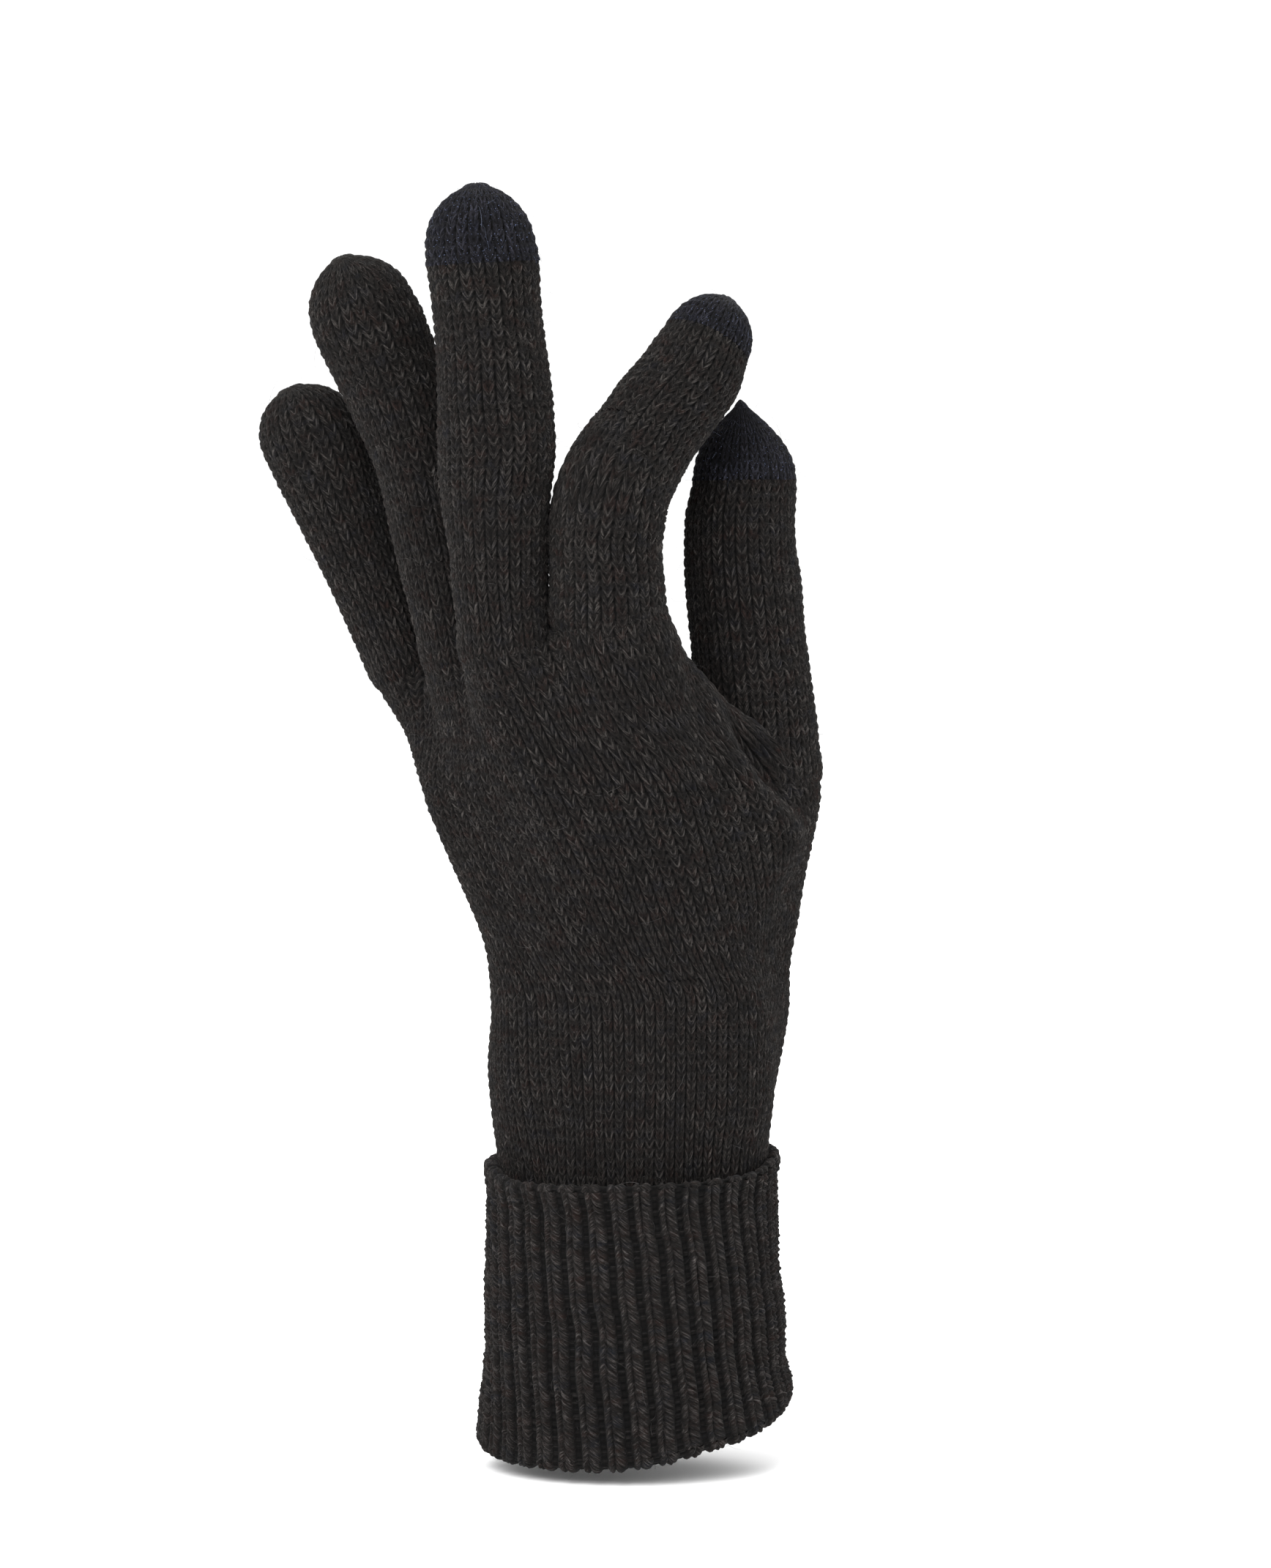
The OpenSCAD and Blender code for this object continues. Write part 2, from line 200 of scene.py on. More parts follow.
def grid_quads(tall, cols):
    """The faces of a grid of closed rings, and each face corner's column and row."""
    i, j = np.meshgrid(np.arange(cols), np.arange(tall - 1))
    k = (i + 1) % cols
    quads = np.stack([j * cols + i, j * cols + k, (j + 1) * cols + k, (j + 1) * cols + i], -1)
    column = np.stack([i, i + 1, i + 1, i], -1).reshape(-1)
    row = np.stack([j, j, j + 1, j + 1], -1).reshape(-1)
    return quads.reshape(-1, 4), column, row


def make_mesh(name, verts, quads, loop_uv, attributes, materials, quad_material=None):
    mesh = bpy.data.meshes.new(name)
    mesh.vertices.add(len(verts))
    mesh.vertices.foreach_set("co", verts.astype(np.float32).ravel())
    mesh.loops.add(quads.size)
    mesh.loops.foreach_set("vertex_index", quads.astype(np.int32).ravel())
    mesh.polygons.add(len(quads))
    starts = np.arange(0, quads.size, 4, dtype=np.int32)
    mesh.polygons.foreach_set("loop_start", starts)
    mesh.polygons.foreach_set("use_smooth", np.ones(len(quads), bool))
    if quad_material is not None:
        mesh.polygons.foreach_set("material_index", quad_material.astype(np.int32))
    mesh.update(calc_edges=True)
    for layer, uv in loop_uv.items():
        data = mesh.uv_layers.new(name=layer)
        data.data.foreach_set("uv", uv.astype(np.float32).ravel())
    for label, values in attributes.items():
        data = mesh.attributes.new(label, "FLOAT", "POINT")
        data.data.foreach_set("value", values.astype(np.float32))
    for material in materials:
        mesh.materials.append(material)
    mesh.validate()
    obj = bpy.data.objects.new(name, mesh)
    bpy.context.scene.collection.objects.link(obj)
    return obj


FIBRE_RADIUS = 0.020 * MM
FIBRE_STEPS = 5  # rings along a fibre
FIBRE_CORNERS = (0.0, 2.1, 4.2)  # where a ring's three corners are round it, in radians


def fibres(base, normals, rng, per_area):
    """Loose fibres standing off a knitted surface: thin three-sided strands.

    Gives their vertices and faces, and for each vertex the surface vertex that its fibre grows
    from and the fibre's tone.
    """
    rows, cols = base.shape[:2]
    edge_a = np.roll(base, -1, axis=1) - base
    edge_b = np.gradient(base, axis=0)
    cell = np.linalg.norm(np.cross(edge_a, edge_b), axis=-1).ravel()
    count = int(cell.sum() * per_area)
    pick = rng.choice(rows * cols, size=count, p=cell / cell.sum())
    p = base.reshape(-1, 3)[pick]
    n = normals.reshape(-1, 3)[pick]
    t1 = unit(edge_a.reshape(-1, 3)[pick] + 1e-9)
    t2 = np.cross(n, t1)
    angle = rng.uniform(0, 2 * np.pi, count)[:, None]
    lie = t1 * np.cos(angle) + t2 * np.sin(angle)
    turn = np.cross(n, lie)
    length = (rng.gamma(3.0, 0.85, count).clip(0.8, 6.5) * MM)[:, None]
    lift = (rng.gamma(2.0, 0.22, count).clip(0.1, 1.5) * MM)[:, None]
    curl = rng.normal(0, 0.45, count)[:, None]
    radius = FIBRE_RADIUS * rng.uniform(0.7, 1.3, count)[:, None]
    rings = []
    for k in range(FIBRE_STEPS):
        s = k / (FIBRE_STEPS - 1)
        centre = (
            p
            + n * (lift * math.sin(math.pi * min(1.0, 0.12 + 0.75 * s)))
            + lie * (length * s)
            + turn * (length * curl * s * s)
        )
        thin = radius * (1 - 0.55 * s)
        for a in FIBRE_CORNERS:
            rings.append(centre + n * (thin * math.cos(a)) + turn * (thin * math.sin(a)))
    verts = np.stack(rings, axis=1).reshape(-1, 3)
    start = np.arange(count)[:, None] * (3 * FIBRE_STEPS)
    quads = []
    for k in range(FIBRE_STEPS - 1):
        for a in range(3):
            b = (a + 1) % 3
            corner = np.array([3 * k + a, 3 * k + b, 3 * k + 3 + b, 3 * k + 3 + a])
            quads.append(start + corner)
    quads = np.stack(quads, axis=1).reshape(-1, 4)
    tone = np.repeat(rng.uniform(0, 1, count), 3 * FIBRE_STEPS)
    return verts, quads, np.repeat(pick, 3 * FIBRE_STEPS), tone


NOMINAL_WALE = 2.5 * MM  # the width of a wale that has its full relief
RELIEF_RANGE = (0.08, 1.15)  # least and most relief of narrow and wide wales
STITCH_BASE = 0.45  # the stitch height that lies on the smooth surface
WOBBLE = (0.10, 0.16)  # how far stitches stray sideways and along, in wales and courses
TONE_RELIEF = 0.22  # how much the relief differs from leg to leg
SLACK_RELIEF = 0.15  # how much it differs from patch to patch
SLACK_LIFT = 0.10 * MM  # how far slack patches stand off


def knit_piece(name, points, rows, wales, stitch, materials, rng,
               relief=STITCH_RELIEF, fuzz=0.06, steps=WALE_STEPS, calm=1.0):
    """A knitted piece of a tube, raised out of the tube's smooth surface points[row, around].

    rows gives the piece's first row and the row that it stops before. fuzz is the number of
    fibres on a square millimetre, and they get the last material. calm scales the relief.
    """
    tall, cols = points.shape[:2]
    normals = grid_normals(points)
    width = np.linalg.norm(np.roll(points, -1, axis=1) - points, axis=-1) * steps
    fade = np.clip(width / NOMINAL_WALE, *RELIEF_RANGE) * np.reshape(calm, (-1, 1))
    u, v = grid_places(tall, cols, steps, COURSE_STEPS)
    strayed_u = u + WOBBLE[0] * lattice_noise(u / 4, v / 5, rng, wales // 4)
    strayed_v = v + WOBBLE[1] * lattice_noise(u / 3, v / 6, rng, wales // 3)
    height, across, course = stitch(strayed_u, strayed_v)
    tone = stitch_noise(strayed_u, course, rng, wales)
    slack = lattice_noise(u / 5, v / 6, rng, wales // 5)
    amount = relief * fade * (1 + TONE_RELIEF * tone + SLACK_RELIEF * slack)
    raised = (height - STITCH_BASE) * amount + SLACK_LIFT * slack * fade

    keep = slice(*rows)
    surface = (points + normals * raised[..., None])[keep]
    tall, first_course = len(surface), v[keep][0, 0]
    quads, column, row = grid_quads(tall, cols)
    hair, hair_quads, grows_from, hair_tone = fibres(surface, normals[keep], rng, fuzz / MM**2)
    corners = grows_from[hair_quads.ravel()]
    column = np.concatenate([column, corners % cols])
    row = np.concatenate([row, corners // cols])
    knit_uv = np.stack([column / steps, first_course + row / COURSE_STEPS], -1)
    bake_uv = np.stack([column / cols, row / (tall - 1)], -1)
    bake_uv[-len(corners):] += rng.uniform(0, 0.002, (len(corners), 2))

    blank = np.zeros(len(hair))
    fields = {}
    # the height field drives the yarn's painted shade in the valleys and painted light on the crowns
    for label, values, on_hair in (("height", height, blank + 1), ("tone", tone, hair_tone),
                                   ("across", across, blank), ("course", course, blank)):
        fields[label] = np.concatenate([values[keep].ravel(), on_hair])
    verts = np.concatenate([surface.reshape(-1, 3), hair])
    material_of = np.repeat([0, len(materials) - 1], [len(quads), len(hair_quads)])
    quads = np.concatenate([quads, hair_quads + surface[..., 0].size])
    layers = {"OFBake": bake_uv, "Knit": knit_uv}
    return make_mesh(name, verts, quads, layers, fields, materials, material_of)


# ---- materials ----
class Graph:
    """Small helper that adds and links shader nodes."""

    def __init__(self, name):
        self.material = bpy.data.materials.new(name)
        self.material.use_nodes = True
        self.nodes = self.material.node_tree.nodes
        self.links = self.material.node_tree.links
        self.nodes.clear()

    def add(self, kind, inputs=None, **settings):
        """Adds a node; an input that is a socket is linked, and any other is set."""
        node = self.nodes.new(kind)
        for key, value in settings.items():
            setattr(node, key, value)
        for key, value in (inputs or {}).items():
            if isinstance(value, bpy.types.NodeSocket):
                self.links.new(value, node.inputs[key])
            else:
                node.inputs[key].default_value = value
        return node

    def math(self, operation, *values):
        return self.add("ShaderNodeMath", dict(enumerate(values)), operation=operation).outputs[0]

    def mix(self, factor, a, b, blend="MIX"):
        inputs = {0: factor, 6: a, 7: b}
        return self.add("ShaderNodeMix", inputs, data_type="RGBA", blend_type=blend).outputs[2]

    def finish(self, inputs):
        """Adds the surface shader and the output, and gives the finished material."""
        shader = self.add("ShaderNodeBsdfPrincipled", inputs)
        out = self.add("ShaderNodeOutputMaterial")
        self.links.new(shader.outputs[0], out.inputs[0])
        return self.material


def rgb(r, g, b):
    """A colour given in display values from 0 to 255, as linear RGBA."""
    def linear(c):
        c = c / 255
        return c / 12.92 if c <= 0.04045 else ((c + 0.055) / 1.055) ** 2.4
    return (linear(r), linear(g), linear(b), 1.0)


def yarn_material(name, main, warm, cool, light, glints=0.0):
    """Fuzzy melange yarn, with its fibres lying along each leg of each stitch.

    warm and cool tint it here and there, light is its palest fibres, and glints is how strongly
    conductive thread sparkles.
    """
    g = Graph(name)

    def field(label):
        return g.add("ShaderNodeAttribute", attribute_name=label).outputs["Fac"]

    def place(*values):
        return g.add("ShaderNodeCombineXYZ", dict(enumerate(values))).outputs[0]

    def noise(at, detail, rough=0.5):
        return g.add("ShaderNodeTexNoise", {
            "Vector": at, "Scale": 1.0, "Detail": detail, "Roughness": rough}).outputs[0]

    def ramp(value, low, high, a, b):
        return g.add("ShaderNodeMapRange", {0: value, 1: low, 2: high, 3: a, 4: b}).outputs[0]

    uv = g.add("ShaderNodeUVMap", uv_map="Knit").outputs[0]
    split = g.add("ShaderNodeSeparateXYZ", {0: uv}).outputs
    u, v = split[0], split[1]
    wale = g.math("FLOOR", u)
    across, course = field("across"), field("course")
    # colour that changes slowly from stitch to stitch
    melange = noise(place(g.math("MULTIPLY", u, 0.50), g.math("MULTIPLY", v, 0.62)), 3.0, 0.6)
    strand = noise(place(
        g.math("MULTIPLY", across, 1.3),
        g.math("MULTIPLY", course, 5.0),
        g.math("MULTIPLY", wale, 5.3)), 3.0, 0.65)
    fine = noise(place(g.math("MULTIPLY", u, 8.0), g.math("MULTIPLY", v, 6.0)), 4.0, 0.7)
    colour = g.mix(ramp(melange, 0.52, 0.68, 0.0, 1.0), main, warm)
    colour = g.mix(ramp(melange, 0.46, 0.32, 0.0, 1.0), colour, cool)
    colour = g.mix(ramp(strand, 0.50, 0.70, 0.0, 0.90), colour, light)
    # painted shade and light: each stitch's valleys are painted darker and its crowns paler, by its
    # height; then random fibre and leg tone
    level = ramp(field("height"), 0.10, 0.80, 0.04, 1.32)
    level = g.math("MULTIPLY", level, ramp(fine, 0.30, 0.70, 0.50, 1.50))
    level = g.math("MULTIPLY", level, ramp(field("tone"), -1.0, 1.0, 0.70, 1.30))
    shade_and_tone_grey = g.add("ShaderNodeCombineColor", {0: level, 1: level, 2: level}).outputs[0]
    colour = g.mix(1.0, colour, shade_and_tone_grey, "MULTIPLY")
    # painted glints: pale blue-grey specks mixed into the touch yarn's base colour
    if glints:
        cells = place(g.math("MULTIPLY", u, 5.0), g.math("MULTIPLY", v, 5.0))
        spark = g.add("ShaderNodeTexVoronoi", {"Vector": cells, "Scale": 1.0}).outputs[0]
        colour = g.mix(ramp(spark, 0.16, 0.05, 0.0, glints), colour, rgb(120, 132, 168))
    bump_from = g.math("ADD", g.math("MULTIPLY", strand, 0.8), g.math("MULTIPLY", fine, 0.5))
    bump = g.add("ShaderNodeBump", {"Height": bump_from, "Strength": 0.8, "Distance": 0.3 * MM})
    return g.finish({
        "Base Color": colour, "Roughness": 0.9, "Specular IOR Level": 0.12,
        "Sheen Weight": 0.03, "Sheen Roughness": 0.5, "Sheen Tint": (0.80, 0.78, 0.76, 1.0),
        "Normal": bump.outputs[0]})


def fibre_material(name, dark, pale):
    """Loose fibres, each of its own tone between dark and pale."""
    g = Graph(name)
    tone = g.add("ShaderNodeAttribute", attribute_name="tone").outputs["Fac"]
    bright = g.add("ShaderNodeMapRange", {0: tone, 1: 0.45, 2: 1.0, 3: 0.0, 4: 1.0}).outputs[0]
    colour = g.mix(bright, dark, pale)
    return g.finish({"Base Color": colour, "Roughness": 0.7, "Specular IOR Level": 0.3})


body_yarn = yarn_material("body_yarn", rgb(15, 13, 12), rgb(21, 13, 11), rgb(13, 13, 16), rgb(59, 56, 54))
rib_yarn = yarn_material("rib_yarn", rgb(15, 13, 12), rgb(20, 13, 11), rgb(12, 13, 16), rgb(57, 54, 53))
seam_yarn = yarn_material("seam_yarn", rgb(16, 14, 13), rgb(20, 14, 12), rgb(13, 13, 16), rgb(59, 57, 55))
touch_yarn = yarn_material("touch_yarn", rgb(12, 12, 16), rgb(14, 13, 17), rgb(10, 11, 18),
                           rgb(46, 46, 54), glints=0.7)
body_fibre = fibre_material("body_fibre", rgb(26, 25, 25), rgb(92, 90, 90))
touch_fibre = fibre_material("touch_fibre", rgb(28, 30, 40), rgb(110, 118, 140))

# ---- fingers ----
# Millimetres. half: (distance from the root, half-width, half-depth, shift towards +X);
# dome: height of the tip's dome; point: how pointed the dome is; wales: stitches round the tube;
# touch: how far the touch fabric reaches below the dome, or None
FINGERS = {
    "index": dict(half=[(0, 12.5, 10.6, -0.7), (7, 12.0, 10.8, -1.3), (16, 11.7, 10.8, -2.5),
                        (26, 11.9, 10.9, -2.1), (32, 11.3, 10.9, -2.0), (37, 10.6, 10.6, -1.8),
                        (42, 10.3, 10.4, -1.5), (47.5, 10.4, 10.4, -0.6), (55, 10.2, 10.0, 0.9),
                        (59, 10.0, 9.7, 0.85), (62.5, 9.0, 9.0, 0.75)],
                  dome=10.2, point=1.12, wales=26, touch=1.0),
    "middle": dict(half=[(0, 8.3, 10.0, 0.3), (7, 8.6, 10.3, 0.4), (16, 9.2, 10.6, 0.1),
                         (24, 10.0, 10.7, 0.4), (30, 10.7, 10.8, 0.6), (36, 11.5, 10.9, 0.9),
                         (41, 11.8, 10.9, 1.3), (50, 11.4, 10.9, 1.3), (58, 11.1, 10.9, 1.3),
                         (66, 10.7, 10.8, 1.0), (75, 11.1, 10.8, 0.6), (80, 11.0, 10.8, 0.4),
                         (85, 9.9, 10.1, -0.2), (88, 9.2, 9.4, -0.5)],
                   dome=11.0, point=1.15, wales=25, touch=4.6),
    "ring": dict(half=[(0, 7.9, 9.3, 1.9), (7, 8.1, 9.8, 2.1), (20, 8.8, 10.2, 2.4),
                       (33, 9.0, 10.4, 2.6), (45, 9.4, 10.6, 2.8), (53, 10.0, 10.7, 2.2),
                       (58, 10.6, 10.8, 1.6), (64, 11.0, 10.8, 1.1), (71, 11.3, 10.8, 0.9),
                       (75, 10.6, 10.4, 0.6)],
                 dome=11.2, point=1.2, wales=25, touch=None),
    "little": dict(half=[(0, 7.0, 9.0, 0.8), (7, 7.9, 9.2, 0.3), (22, 8.4, 9.4, 0.0),
                         (35, 9.1, 9.4, 0.3), (43, 10.1, 9.6, 0.5), (50, 10.8, 9.7, 0.4),
                         (53, 10.6, 9.5, 0.2)],
                   dome=9.9, point=1.0, wales=22, touch=None),
    "thumb": dict(half=[(0, 11.6, 11.6, 0.0), (9, 12.1, 12.0, 0.1), (25, 11.8, 11.8, 0.0),
                        (40, 11.9, 11.6, 0.0), (47, 11.6, 11.4, -0.4), (54, 11.4, 11.2, -0.4),
                        (60, 10.7, 10.7, 0.4), (63, 10.2, 10.1, 0.9)],
                  dome=15.5, point=2.3, wales=28, touch=1.2),
}
ROOT_LENGTH = 7.0 * MM  # from the root to the knuckle
THUMB_ROOT_LENGTH = 9.5 * MM
BURIED = 12.0 * MM  # how far a finger's tube starts inside the hand
ROOT_EXTRA = 0.6 * MM  # the root's circle is this much wider than the finger
TIP_RISE = 0.6 * MM  # how far the knit stands above the closure's middle
DOME_TURNS = 84  # how far round the dome the wales go before the closure, in degrees
BEND_SPREAD = 3.5 * MM  # how far a finger's middle line is rounded at its joints
BURIED_SLIM = 3.0 * MM  # how much narrower the buried start is
LOOK_ALONG = 0.5 * MM  # half the stretch of middle line that gives its direction
DOME_SAMPLES = 400
FINGER_DENT = 0.35 * MM


def finger_joints(name):
    if name == "thumb":
        return ["thumb_base_joint", "thumb_end_joint"]
    return [name + "_knuckle", name + "_middle_joint", name + "_end_joint"]


def finger_stations(name):
    """Root, joints, dome base and crown along a finger's middle line."""
    joints = [joint_at(j) for j in finger_joints(name)]
    back = THUMB_ROOT_LENGTH if name == "thumb" else ROOT_LENGTH
    root = joints[0] - unit(joints[1] - joints[0]) * back
    crown = box_centre(name + "_tip_closure")
    end = unit(crown - joints[-1])
    base = crown - end * FINGERS[name]["dome"] * MM
    return [root] + joints + [base, crown]


def bell(width):
    kernel = np.exp(-0.5 * (np.arange(-3 * width, 3 * width + 1) / width) ** 2)
    return kernel / kernel.sum()


def blur_rows(points, width):
    """Evens out kinks along the rows of an array."""
    kernel = bell(width)
    pad = ((3 * width, 3 * width),) + ((0, 0),) * (points.ndim - 1)
    padded = np.pad(points, pad, mode="reflect", reflect_type="odd")
    return sum(kernel[k] * padded[k : k + len(points)] for k in range(len(kernel)))


def distances(points):
    """How far each point lies along the line through all of them."""
    return np.concatenate([[0], np.cumsum(np.linalg.norm(np.diff(points, axis=0), axis=1))])


def smooth_line(points, spread, step=0.25 * MM, spare=20 * MM):
    """The line through points with its corners rounded off, and each place's distance along it.

    It runs on straight past both ends by the spare length.
    """
    points = np.array(points)
    s = distances(points)
    fine = np.arange(-spare, s[-1] + spare, step)
    line = np.stack([np.interp(fine, s, points[:, k]) for k in range(3)], -1)
    line += np.minimum(fine, 0)[:, None] * unit(points[1] - points[0])
    line += np.maximum(fine - s[-1], 0)[:, None] * unit(points[-1] - points[-2])
    return fine, blur_rows(line, int(spread / step))


def dented(points, depth, patch, wide, rng, fade=1.0):
    """A surface with the soft dents of worn knit.

    patch is a dent's size in vertices, round the tube and along it, and wide is the number of
    dents round the tube.
    """
    u, v = grid_places(*points.shape[:2], *patch)
    dent = lattice_noise(u, v, rng, wide)
    return points + grid_normals(points) * (depth * dent * fade)[..., None]


def finger_surface(name, rng):
    """The smooth tube of a finger: points[row, around], each row's distance, and the stations."""
    spec = FINGERS[name]
    stations = finger_stations(name)
    table = np.array(spec["half"]) * MM
    fine, line = smooth_line(stations[:-1], BEND_SPREAD)
    axis = joint_axis(finger_joints(name)[0])
    dome = spec["dome"] * MM
    total = distances(stations[:-1])[-1]
    row_step = FINGER_COURSE / COURSE_STEPS
    shaft = np.arange(-BURIED, total, row_step)
    # the dome's rows are spaced evenly over its curve
    turn = np.radians(np.linspace(0, DOME_TURNS, DOME_SAMPLES))
    profile = [table[-1, 1] * np.cos(turn) ** spec["point"], dome * np.sin(turn)]
    curve = distances(np.stack(profile, -1))
    dome_rows = int(curve[-1] / row_step)
    dome_turn = np.interp(np.linspace(0, curve[-1], dome_rows + 1)[1:], curve, turn)
    cols = spec["wales"] * WALE_STEPS
    around = np.linspace(0, 2 * np.pi, cols, endpoint=False)

    def place(s):
        return np.array([np.interp(s, fine, line[:, k]) for k in range(3)])

    def ring(s, shrink, push):
        forward = unit(place(s + LOOK_ALONG) - place(s - LOOK_ALONG))
        palm = unit(np.cross(forward, axis))
        side = unit(np.cross(forward, palm))
        sideways = unit(np.array([1, 0, 0]) - forward * forward[0])
        wide, deep, shift = [np.interp(s, table[:, 0], table[:, k]) for k in (1, 2, 3)]
        extra = ROOT_EXTRA * (1 - smoothstep(s, 0, ROOT_LENGTH))
        extra -= BURIED_SLIM * smoothstep(-s, 0, ROOT_LENGTH)
        across = side[None] * ((wide + extra) * np.cos(around))[:, None]
        offset = across - palm[None] * ((deep + extra) * np.sin(around))[:, None]
        centre = place(s)[None] + sideways[None] * shift * shrink**0.5
        return centre + offset * shrink + forward[None] * push

    rows = [ring(s, 1.0, 0.0) for s in shaft]
    for t in dome_turn:
        rows.append(ring(total, math.cos(t) ** spec["point"], (dome + TIP_RISE) * math.sin(t)))
    points = np.stack(rows)
    fade = smoothstep(np.arange(len(points)), len(points), len(points) - 30)
    patch = (5 * WALE_STEPS, 5 * COURSE_STEPS)
    points = dented(points, FINGER_DENT, patch, spec["wales"] // 5, rng, fade[:, None])
    lengths = np.concatenate([shaft, total + np.arange(1, dome_rows + 1) * row_step])
    return blur_rows(points, 3), lengths, stations


# ---- hand ----
# The hand's levels are drawn round ovals [x, y, half-width, half-depth, heading], one for each
# finger's ray, one inside the web beside the index finger, and one for the thumb's lobe
CUFF_TOP = 60.0 * MM
HEEL = 98.0 * MM
SPLIT = 138.5 * MM  # where the thumb leaves the hand
WRIST_HALF_W = 26.8 * MM
WRIST_RADII = np.array([14.5, 18.5, 18.5, 14.5]) * MM
WRIST_ROW = np.array([1, 0.33, -0.33, -1])  # the rays' places across the wrist
WRIST_STAGGER = 1.5 * MM  # how far forward or back the outermost rays lie there
# Height, reach towards the thumb's side, y and radius of the web's oval
WEB = np.array([(50, 20, -2.0, 12.0), (98, 24, -2.5, 10.0), (118, 31, -1.0, 9.0), (128, 35.5, 2.0, 8.0),
                (133.7, 31.0, 0.0, 7.0), (140, 25.4, -3.5, 6.5), (146.4, 21.3, -4.5, 6.5),
                (156.2, 18.0, -5.0, 6.5), (163, 12.0, -5.5, 6.0), (168, 6.8, -6.0, 5.5),
                (173, 3.0, -6.0, 5.0), (180, 1.0, -6.0, 5.0)]) * MM
# Height, and how much wider the knit is there at the little finger's side and at the thumb's side
SIDES = np.array([(50, 0, 0), (61, 0.8, 0.2), (67, 1.9, 0.4), (73, 2.8, 1.6), (80, 3.2, 1.8),
                  (92, 2.6, 1.2), (98, 2.4, 0.4), (105, 0.2, 0), (136, -0.3, 0), (142, -0.9, 0),
                  (148, -1.7, 0), (155, -1.4, 0), (161, -0.4, 0), (167, 0, 0)]) * MM
WEB_X = 9.0 * MM  # where the web meets the index finger's root
THUMB_LOW = np.array([9.5, 3.0, 15.5, 15.5, 0]) * MM  # the thumb's lobe at the cuff's top
LOBE_GONE = 15 * MM  # how far above the split the lobe has sunk into the web
LOBE_SLIM = 1.0 * MM  # how much narrower it is just above the split
SLIM_OVER = 3 * MM  # the height over which it slims
HAND_START = 50.0 * MM
WRIST_END = 100 * MM  # where the wrist sleeve meets the heel
ROOTS_RISE = 0.278  # rise of the finger roots towards the index finger
HAND_WALES = 72
FINGER_ROWS = ("index", "middle", "ring", "little")
FINGER_CREASE = 27 * MM  # how far down the hand the creases between the fingers run
THUMB_CREASE = (12 * MM, 3 * MM)  # how far below the split it starts, and above it is full
CREASE_STOP = 1.8 * MM  # how near the middle of the hand a crease may come
NECK_DRAW = 0.10  # how much thinner the wrist is inside the cuff
NECK = (60 * MM, 76 * MM)  # the heights between which it gets its full depth
HAND_DENT = 0.45 * MM
ROOT_TUCK = 0.6 * MM  # how far the hand's last rows tuck in under the fingers
TUCK_ROWS = 16
CAP_ROWS = 12  # rows that close the hand between the fingers
CAP_RISE = 1.6 * MM


def root_oval(name, station, direction):
    """[x, y, half-width, half-depth, heading] of a finger's root."""
    axis = joint_axis(finger_joints(name)[0])
    palm = np.cross(direction, axis)
    half = np.array(FINGERS[name]["half"][0]) * MM
    centre = station + unit(np.array([1, 0, 0]) - direction * direction[0]) * half[3]
    return np.array([centre[0], centre[1], half[1] + ROOT_EXTRA, half[2] + ROOT_EXTRA,
                     math.atan2(palm[0], palm[1])])


def hand_ovals(t, z, roots):
    """Ovals at level t: 0 at HAND_START, 1 at the thumb's split, 2 at the finger roots.

    z is the level's height at the middle of the hand. The finger roots lie on a slope, and the
    web's own height follows it.
    """
    ovals = []
    wrist_x = joint_at("wrist_bend")[0]
    for k, name in enumerate(FINGER_ROWS):
        top, top_z = roots[name]
        wrist = np.array([WRIST_ROW[k] * (WRIST_HALF_W - WRIST_RADII[0]) + wrist_x,
                          -WRIST_STAGGER * WRIST_ROW[k], WRIST_RADII[k], WRIST_RADII[k], top[4]])
        at_split = lerp(wrist, top, np.clip((SPLIT - HEEL) / (top_z - HEEL), 0, 1))
        up = np.clip((z - HEEL) / (top_z - HEEL), 0, 1)
        ovals.append(lerp(wrist, top, up) if t <= 1 else lerp(at_split, top, t - 1))
    index_top, index_z = roots["index"]
    web_top = index_z + ROOTS_RISE * (WEB_X - index_top[0])
    web_z = z if t <= 1 else lerp(SPLIT, web_top, t - 1)
    web = np.array([np.interp(web_z, WEB[:, 0], WEB[:, k]) for k in (1, 2, 3)])
    web = np.array([web[0] - web[2], web[1], web[2], web[2], 0.0])
    lobe_full = roots["thumb"][0].copy()
    if t <= 1:
        lobe = lerp(THUMB_LOW, lobe_full, np.clip((z - CUFF_TOP) / (SPLIT - CUFF_TOP), 0, 1))
    else:
        lobe_full[0] += roots["thumb_lean"] * (z - SPLIT)
        lobe_full[2:4] -= LOBE_SLIM * smoothstep((z - SPLIT) / SLIM_OVER)
        lobe_sunk = np.array([web[0], web[1], 2 * MM, 2 * MM, 0.0])
        lobe = lerp(lobe_full, lobe_sunk, smoothstep((z - SPLIT) / LOBE_GONE))
    return np.array(ovals + [web, lobe])


def oval_axes(ovals):
    """The directions of each oval's half-width and half-depth."""
    heading = ovals[:, 4]
    side = np.stack([-np.cos(heading), np.sin(heading)], -1)
    deep = np.stack([np.sin(heading), np.cos(heading)], -1)
    return side, deep


def hull_points(ovals, count=1080):
    """The outline of a band pulled tight round the ovals, one point for each direction."""
    q = np.linspace(0, 2 * np.pi, count, endpoint=False)
    d = np.stack([np.cos(q), np.sin(q)], -1)
    side, deep = oval_axes(ovals)
    p1, p2 = ovals[:, 2:3] * (side @ d.T), ovals[:, 3:4] * (deep @ d.T)
    size = np.sqrt(p1**2 + p2**2)
    reach = ovals[:, :2] @ d.T + size
    best = np.argmax(reach, axis=0)
    k = np.arange(count)
    a = ovals[best, 2] * p1[best, k] / size[best, k]
    b = ovals[best, 3] * p2[best, k] / size[best, k]
    return ovals[best, :2] + a[:, None] * side[best] + b[:, None] * deep[best]


